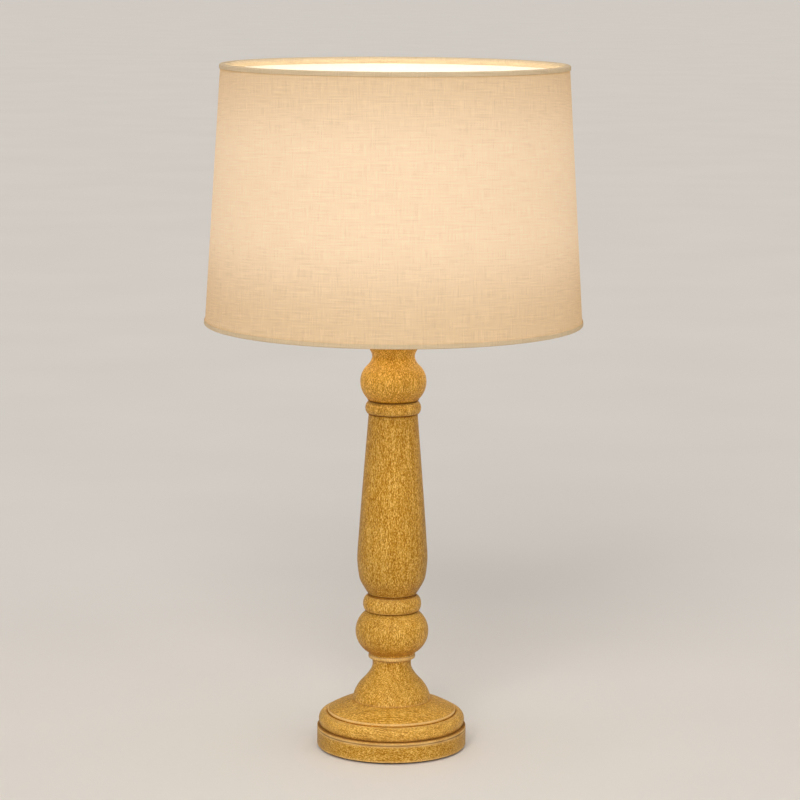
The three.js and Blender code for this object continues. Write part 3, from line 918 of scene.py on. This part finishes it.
def top_plate_outline():
    bottom, top = ends_of("top_plate")
    rim = reach("top_plate")
    return [
        (5.3, bottom),
        (rim - 0.7, bottom),
        *bow(rim - 0.7, bottom + 0.7, 0.7, -80, 60, 8),
        (rim - 1.2, bottom + 1.3),
        *bezier((rim - 1.4, bottom + 1.5), (rim - 2.2, top - 0.2), (rim - 4.5, top), steps=8),
        (5.3, top),
    ]


def holder_cap_outline():
    bottom, top = ends_of("holder_cap")
    outer, inner, neck = reach("holder_cap"), reach("holder_cap") - 1.8, 9
    shoulder = bottom + 6
    return [
        (5.3, bottom + 0.3),
        (5.6, bottom),
        *bow(neck - 0.8, bottom + 0.8, 0.8, -90, 0, 6),
        (neck, shoulder - 1),
        *bezier((neck, shoulder - 0.6), (neck, shoulder), (neck + 1.2, shoulder), steps=6),
        *bezier((neck + 1.3, shoulder), (outer, shoulder), (outer, shoulder + 6), steps=20),
        (outer, top - 4.2),
        *arc(outer, top - 3.6, 0.4, 0.5, 260, 100, 6),
        (outer, top - 3.0),
        *bow(outer - 0.4, top - 0.4, 0.4, 0, 90, 5),
        (inner, top),
        *bezier((inner, shoulder + 6.5), (inner, shoulder + 2), (neck, shoulder + 2), steps=12),
        (5.3, shoulder + 2),
    ]


def skirt_outline():
    bottom, top = ends_of("threaded_skirt")
    collar, outer, inner = reach("threaded_skirt"), 19.4, 17
    under, seat = high("holder_cap") + GAP, low("shade_fitter") - GAP
    threads = [(outer, level) for level in np.arange(seat + 0.6, top - 1.0, 0.25)]
    return [
        (inner + 0.3, bottom),
        (outer - 0.1, bottom),
        (outer - 0.1, under),
        *bow(collar - 0.8, under + 0.8, 0.8, -90, 0, 6),
        *[(collar, level) for level in np.linspace(under + 1.2, seat - 0.9, 5)],
        *bow(collar - 0.6, seat - 0.6, 0.6, 0, 90, 6),
        (outer, seat),
        *threads,
        *arc(outer - 1.0, top - 0.9, 1.0, 0.9, 0, 90, 6),
        *bow(inner + 0.5, top - 0.5, 0.5, 90, 180, 4),
        (inner, bottom + 0.3),
    ]


def skirt_shape():
    thread = helix(3.0, 0.9, low("shade_fitter") + 1.5, high("threaded_skirt") - 2.5, 1.2)
    collar = reach("threaded_skirt")

    def shape(radii, heights, angles):
        gripped = ribs(36, 0.6, high("holder_cap") + 1.2, low("shade_fitter") - 1.0)
        threaded = thread(radii, heights, angles)
        on_thread = (heights > low("shade_fitter") + 0.2) & (radii > 18.3) & (radii < collar - 2)
        return np.where(on_thread, threaded, gripped(radii, heights, angles))

    return shape


def ring_outline():
    bottom, top = ends_of("shade_ring")
    flange, inner = reach("shade_ring"), 19.9
    grip_low, grip_high = 23.3, 22.8
    return [
        (inner, bottom + 0.4),
        (inner + 0.4, bottom),
        *bow(flange - 0.6, bottom + 0.6, 0.6, -90, 0, 5),
        *bow(flange - 0.6, bottom + 1.4, 0.6, 0, 90, 5),
        (grip_low + 0.3, bottom + 2.05),
        *bezier(
            (grip_low + 0.1, bottom + 2.1), (grip_low, bottom + 2.3), (grip_low, bottom + 2.8), steps=3
        ),
        *[
            (grip_low + (grip_high - grip_low) * share, bottom + 2.8 + (top - bottom - 3.4) * share)
            for share in np.linspace(0.1, 1, 8)
        ],
        *bow(grip_high - 0.6, top - 0.6, 0.6, 0, 90, 5),
        *bow(inner + 0.4, top - 0.4, 0.4, 90, 180, 4),
    ]


def make_lampholder():
    turned("top_plate_disc", top_plate_outline(), "stand", "brass", ["top_plate"], sides=144)
    nut("upper_nut_hex", "upper_nut", "brass")
    nut("lower_nut_hex", "lower_nut", "steel")
    cap = turned(
        "holder_cap_shell", holder_cap_outline(), "stand", "black_plastic",
        ["holder_cap"], sides=144,
    )
    bar_low, bar_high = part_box("push_bar")
    axis = (bar_low.z + bar_high.z) / 2 / MM
    drill(cap, (-30, 0, axis), (30, 0, axis), 3.0, 32)
    screw = (low("cap_screw") + high("cap_screw")) / 2
    drill(cap, (0, 2, screw), (0, 14, screw), 1.8, 24)
    turned(
        "threaded_skirt_shell", skirt_outline(), "stand", "black_plastic",
        ["threaded_skirt"], sides=180, shape=skirt_shape(), smooth=50,
    )
    grip = ribs(30, 0.7, low("shade_ring") + 2.4, high("shade_ring") - 0.3)
    turned(
        "shade_ring_nut", ring_outline(), "shade_ring", "black_plastic", ["shade_ring"], sides=240,
        shape=grip, smooth=50,
    )
    start, end = bar_low.x / MM, bar_high.x / MM
    radius = reach_across("push_bar")
    side = [
        (0, start),
        *bow(radius - 1.1, start + 1.1, 1.1, -90, 0, 8),
        *arc(radius + 0.1, start + 4.0, 0.35, 0.45, 250, 110, 6),
        *arc(radius + 0.1, end - 4.0, 0.35, 0.45, 250, 110, 6),
        *bow(radius - 1.1, end - 1.1, 1.1, 0, 90, 8),
        (0, end),
    ]
    place = Matrix.Translation((0, 0, axis * MM)) @ Matrix.Rotation(math.pi / 2, 4, "Y")
    turned(
        "push_bar_rod", side, "push_bar", "brass", ["push_bar"], sides=64, place=place
    )


def reach_across(node):
    """The radius of a rod that lies along X, in mm."""
    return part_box(node)[1].y / MM


# ---- the bulb
def bulb_cap_outline():
    bottom, top = ends_of("bulb_cap")
    outer = reach("bulb_cap")
    inner = outer - 0.5
    threads = [(outer, level) for level in np.arange(bottom + 4.6, top - 0.8, 0.3)]
    return [
        (6.5, bottom + 1.0),
        (6.6, bottom + 0.5),
        (7.0, bottom),
        *bezier((7.4, bottom), (11.5, bottom + 2.4), (outer - 0.5, bottom + 3.4), steps=10),
        *arc(outer - 0.6, bottom + 4.2, 0.6, 0.7, -60, 0, 4),
        *threads,
        *bow(outer - 0.2, top - 0.3, 0.3, -30, 90, 5),
        (inner, top),
        (inner, bottom + 5.2),
        *bezier((inner, bottom + 4.6), (11, bottom + 3.2), (7.2, bottom + 1.2), steps=6),
    ]


def envelope_side(inset):
    """The glass's side, from its open neck up to its top."""
    start = low("bulb_contact")
    neck, widest = 12.2, reach("bulb_envelope")
    cap_top, middle, length = 26, 76.5, high("bulb_envelope") - start
    side = [
        (neck - inset, 20),
        (neck - inset, cap_top),
        *bezier(
            (neck + 0.05 - inset, cap_top + 0.4), (neck + 1.3 - inset, cap_top + 3),
            (neck + 5 - inset, cap_top + 22), (widest - inset, cap_top + 30),
            (widest - inset, middle), steps=32,
        ),
        *arc(0, middle, widest - inset, length - middle - inset, 3, 90, 30),
    ]
    return lifted(side, start)


def make_bulb():
    cap = low("bulb_cap")
    turned(
        "bulb_cap_thread", bulb_cap_outline(), "bulb", "cap_metal", ["bulb_cap"],
        sides=120, shape=helix(3.62, 0.9, cap + 4.2, high("bulb_cap") - 2.2, 1.6), smooth=50,
    )
    outer, inner = envelope_side(0), envelope_side(1.0)
    outer[-1], inner[-1] = (0, outer[-1][1]), (0, inner[-1][1])
    shell("bulb_glass_envelope", outer, inner, "bulb_glass")
    bottom = low("bulb_contact")
    turned(
        "bulb_contact_dome",
        [
            (0, bottom),
            *bow(2.4, bottom + 0.5, 0.5, -90, -40, 4),
            *bezier((3.2, bottom + 0.3), (4.4, bottom + 0.6), (4.6, bottom + 1.1), steps=5),
            (4.6, high("bulb_contact") - 0.2),
            (4.4, high("bulb_contact")),
            (0, high("bulb_contact")),
        ],
        "bulb_tip", "cap_metal", ["bulb_contact"], sides=64,
    )


def shell(name, outer, inner, look, sides=128):
    """A glass shell, open below and closed above, between two sides that end on the axis."""
    angles = np.linspace(0, TAU, sides, endpoint=False)
    rows = outer[:-1] + inner[:-1][::-1]
    vertices = [
        (radius * math.cos(a), radius * math.sin(a), height) for radius, height in rows for a in angles
    ]
    faces = grid_faces(len(outer) - 1, sides, False, True)
    faces += grid_faces(len(inner) - 1, sides, False, True, (len(outer) - 1) * sides)
    above, below = len(vertices), len(vertices) + 1
    vertices += [(0, 0, outer[-1][1]), (0, 0, inner[-1][1])]
    last, first = (len(outer) - 2) * sides, (len(outer) - 1) * sides
    closing = (len(rows) - 1) * sides
    for side in range(sides):
        following = (side + 1) % sides
        faces.append((above, last + side, last + following))
        faces.append((below, first + following, first + side))
        faces.append((closing + side, closing + following, following, side))
    return piece(name, vertices, faces, "bulb", look, ["bulb_envelope"])


# ---- the shade
SHADE_TOP_RADIUS = 160
TAPE = 0.6
SEAM_ANGLE = math.pi / 2  # the seam is at the back
SEAM_OVERLAP = 12


def shade_radius(height):
    """The radius of the shade's outside at a height."""
    bottom, top = low("shade_bottom_hem"), high("shade_top_hem")
    widest = reach("shade_bottom_hem")
    return widest - (widest - SHADE_TOP_RADIUS) * (height - bottom) / (top - bottom)


def flat_cut(vertices):
    """Where points of the cone lie in its flat cut, in metres, with the threads upright in front."""
    bottom, top = low("shade_bottom_hem"), high("shade_top_hem")
    slope = (shade_radius(bottom) - shade_radius(top)) / (top - bottom)
    slant = math.sqrt(1 + slope**2)
    x, y, z = vertices.T
    turn = np.arctan2(x, -y)
    from_apex = shade_radius(z) * slant / slope
    fan = turn * slope / slant
    base = shade_radius(bottom) * slant / slope
    across = from_apex * np.sin(fan)
    up = base - from_apex * np.cos(fan)
    return np.stack([across, up, np.zeros_like(up)], 1) * MM


def store_flat_cut(made):
    places = np.zeros(len(made.data.vertices) * 3)
    made.data.vertices.foreach_get("co", places)
    attribute = made.data.attributes.new("flat_cut", "FLOAT_VECTOR", "POINT")
    attribute.data.foreach_set("vector", flat_cut(places.reshape(-1, 3) / MM).ravel())


def cone_sheet(name, node, inset, thickness, look):
    """A thin sheet wrapped once round the cone. Its end laps over its start at the back."""
    bottom, top = ends_of(node)
    lap = SEAM_OVERLAP / shade_radius(bottom)
    around = np.concatenate(
        [np.linspace(0, TAU - 0.06, 300), np.linspace(TAU - 0.06, TAU + lap, 40)[1:]]
    )
    step = np.clip((around - (TAU - 0.035)) / 0.03, 0, 1)
    lift = (thickness + 0.05) * step**2 * (3 - 2 * step)
    levels = np.linspace(bottom + thickness / 2, top - thickness / 2, 49)
    half = thickness / 2
    # the section through the sheet, all the way round it: its two faces and its two rounded edges
    turns = np.radians([30, 90, 150])
    section = [(level, -half) for level in levels]
    section += [(levels[-1] + half * math.sin(a), -half * math.cos(a)) for a in turns]
    section += [(level, half) for level in reversed(levels)]
    section += [(levels[0] - half * math.sin(a), half * math.cos(a)) for a in turns]
    vertices = []
    for level, inward in section:
        radius = shade_radius(level) - inset - half - inward + lift
        angle = SEAM_ANGLE + around
        vertices += zip(radius * np.cos(angle), radius * np.sin(angle), 0 * angle + level)
    columns = len(around)
    faces = grid_faces(len(section), columns, True, False)
    # each end is closed by strips between its two faces, and a cap at each rounded edge
    count, last = len(levels), len(section)
    for end in (0, columns - 1):
        strips = [(i, last - 4 - i, last - 5 - i, i + 1) for i in range(count - 1)]
        caps = [range(count - 1, count + 4), [*range(last - 4, last), 0]]
        for rows in strips + [reversed(cap) for cap in caps]:
            face = tuple(row * columns + end for row in rows)
            faces.append(face[::-1] if end == 0 else face)
    made = piece(name, vertices, faces, "shade", look, [node], 40)
    store_flat_cut(made)
    return made


def strip_outline(path, thickness):
    """The closed outline of a tape whose middle follows a path, with round edges."""
    path = np.array(path)
    along = np.gradient(path, axis=0)
    along /= np.linalg.norm(along, axis=1)[:, None]
    right = np.stack([along[:, 1], -along[:, 0]], 1)
    half = thickness / 2
    outer = [tuple(p) for p in path + right * half]
    inner = [tuple(p) for p in path - right * half]
    end, start = (
        [
            tuple(path[at] + sign * half * (right[at] * math.cos(a) + along[at] * math.sin(a)))
            for a in np.radians([45, 90, 135])
        ]
        for at, sign in ((-1, 1), (0, -1))
    )
    return [*outer, *end, *reversed(inner), *start]


def hem(name, node, edge, up):
    """Tape folded over the shade's edge and its wire. up is 1 at the lower edge, -1 at the upper."""
    half = TAPE / 2
    wire_height = (low(WIRES[up]) + high(WIRES[up])) / 2
    wire = shade_radius(wire_height) - WIRE_INSET
    hug = WIRE_RADIUS + 0.15 + half
    distance = abs(wire_height - edge)

    def outside(from_edge):
        return (shade_radius(edge + up * from_edge) - half, from_edge)

    # distances are from the edge; the path starts inside, goes round the edge and ends outside
    turns = np.radians([-52, -30, 0, 25, 50])
    inner = [(wire - hug * math.cos(a), distance - hug * math.sin(a)) for a in turns]
    glued = shade_radius(edge + up * 6.2) - 2.2 - half - 0.1
    path = [
        (glued, 6.2),
        (glued - 0.05, 5.6),
        *inner,
        *bezier((wire - 0.7, half), (wire + 0.8, half), (outside(0)[0] - 1.2, half), steps=4),
        *bow(outside(0)[0] - 0.9, half + 0.9, 0.9, -80, -5, 6),
        *[outside(d) for d in np.linspace(1.3, 3.9, 6)],
    ]
    outline = [(radius, edge + up * d) for radius, d in strip_outline(path, TAPE)]
    if up < 0:
        outline = outline[::-1]

    def shape(radii, heights, angles):
        # the tape lies thicker over the cover's seam, and its own end laps there
        near = np.exp(-(((angles - SEAM_ANGLE - 0.045) / 0.045) ** 4))
        on_outside = radii > shade_radius(heights) - TAPE - 0.25
        return radii + 0.45 * near * on_outside

    made = turned(name, outline, "shade", "tape", [node], sides=360, shape=shape, smooth=60)
    store_flat_cut(made)
    return made


WIRES = {1: "shade_bottom_wire", -1: "shade_top_wire"}
WIRE_RADIUS = 1.4
WIRE_INSET = 3.9


def make_shade():
    cover = cone_sheet("shade_cover_cloth", "shade_cover", 0.9, 0.5, "linen")
    cone_sheet("shade_liner_film", "shade_liner", 1.8, 0.4, "liner")
    hems = [
        hem("shade_bottom_tape", "shade_bottom_hem", low("shade_bottom_hem"), 1),
        hem("shade_top_tape", "shade_top_hem", high("shade_top_hem"), -1),
    ]
    for node in WIRES.values():
        height = (low(node) + high(node)) / 2
        radius = shade_radius(height) - WIRE_INSET
        turned(
            f"{node}_ring", arc(radius, height, WIRE_RADIUS, WIRE_RADIUS, 0, 345, 23), "shade",
            "white_wire", [node], sides=240, smooth=60,
        )
    make_fitter()


def make_fitter():
    node = "shade_fitter"
    bottom, top = ends_of(node)
    outer, inner = reach(node), 21
    turned(
        "shade_fitter_ring",
        [
            *bow(inner + 0.6, bottom + 0.6, 0.6, 180, 270, 5),
            *bow(outer - 0.9, bottom + 0.9, 0.9, -90, 0, 6),
            *bow(outer - 0.9, top - 0.9, 0.9, 0, 90, 6),
            *bow(inner + 0.6, top - 0.6, 0.6, 90, 180, 5),
        ],
        "shade", "white_wire", [node], sides=128,
    )
    level = (bottom + top) / 2
    wire_top = high(WIRES[1])
    bend = 9

    def wall(height):
        return shade_radius(height) - WIRE_INSET

    radial = [(wall(wire_top - 0.6), wire_top - 0.6), (wall(wire_top + 3), wire_top + 3)]
    radial += [(wall(h), h) for h in np.linspace(wire_top + 6, level - bend - 1, 4)]
    radial += bezier(
        (wall(level - bend), level - bend), (wall(level), level), (wall(level) - bend, level), steps=14
    )
    radial += [(r, level) for r in np.linspace(wall(level) - bend - 6, outer + 6, 10)]
    radial += [(outer + 3, level), (outer + 1, level), (outer - 0.6, level)]

    def welded(share):
        return 1 + 0.22 * max(0, 1 - share / 0.04) + 0.22 * max(0, (share - 0.93) / 0.07)

    for index in range(3):
        angle = math.pi / 2 + index * TAU / 3
        path = [(r * math.cos(angle), r * math.sin(angle), h) for r, h in radial]
        swept(
            f"shade_arm_rod_{index + 1}", path, WIRE_RADIUS, "shade", "white_wire",
            [f"shade_arm_{index + 1}"], welded,
        )


# ---- everything together
# the looks that the remaining CAD nodes take
KEPT_NODES = {
    "cast_iron": ["ballast_disc"],
    "steel": ["lower_washer", "threaded_tube", "cap_screw"],
    "ceramic": ["switch_block", "contact_carrier"],
    "brass": ["screw_shell", "centre_contact", "terminal_screw_live", "terminal_screw_neutral"],
    "black_plastic": ["bulb_insulator"],
    "bulb_glass": ["bulb_stem"],
    "filament": [f"bulb_filament_{number}" for number in range(1, 5)],
}


def make_floor():
    mesh = bpy.data.meshes.new("studio_floor")
    rings, sides, radius = 24, 96, 60
    vertices = [(0, 0, 0)]
    for ring in range(1, rings + 1):
        for angle in np.linspace(0, TAU, sides, endpoint=False):
            reach_out = radius * ring / rings
            vertices.append((reach_out * math.cos(angle), reach_out * math.sin(angle), 0))
    faces = [(0, 1 + side, 1 + (side + 1) % sides) for side in range(sides)]
    faces += grid_faces(rings, sides, False, True, 1)
    mesh.from_pydata(vertices, [], faces)
    mesh.materials.append(floor_paint())
    add_object("studio_floor", mesh)


make_camera()
make_light()
make_floor()
make_stand()
make_base_fittings()
make_lampholder()
make_bulb()
make_shade()
for look, nodes in KEPT_NODES.items():
    for node in nodes:
        for material_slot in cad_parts[node].material_slots:
            material_slot.material = LOOKS[look]
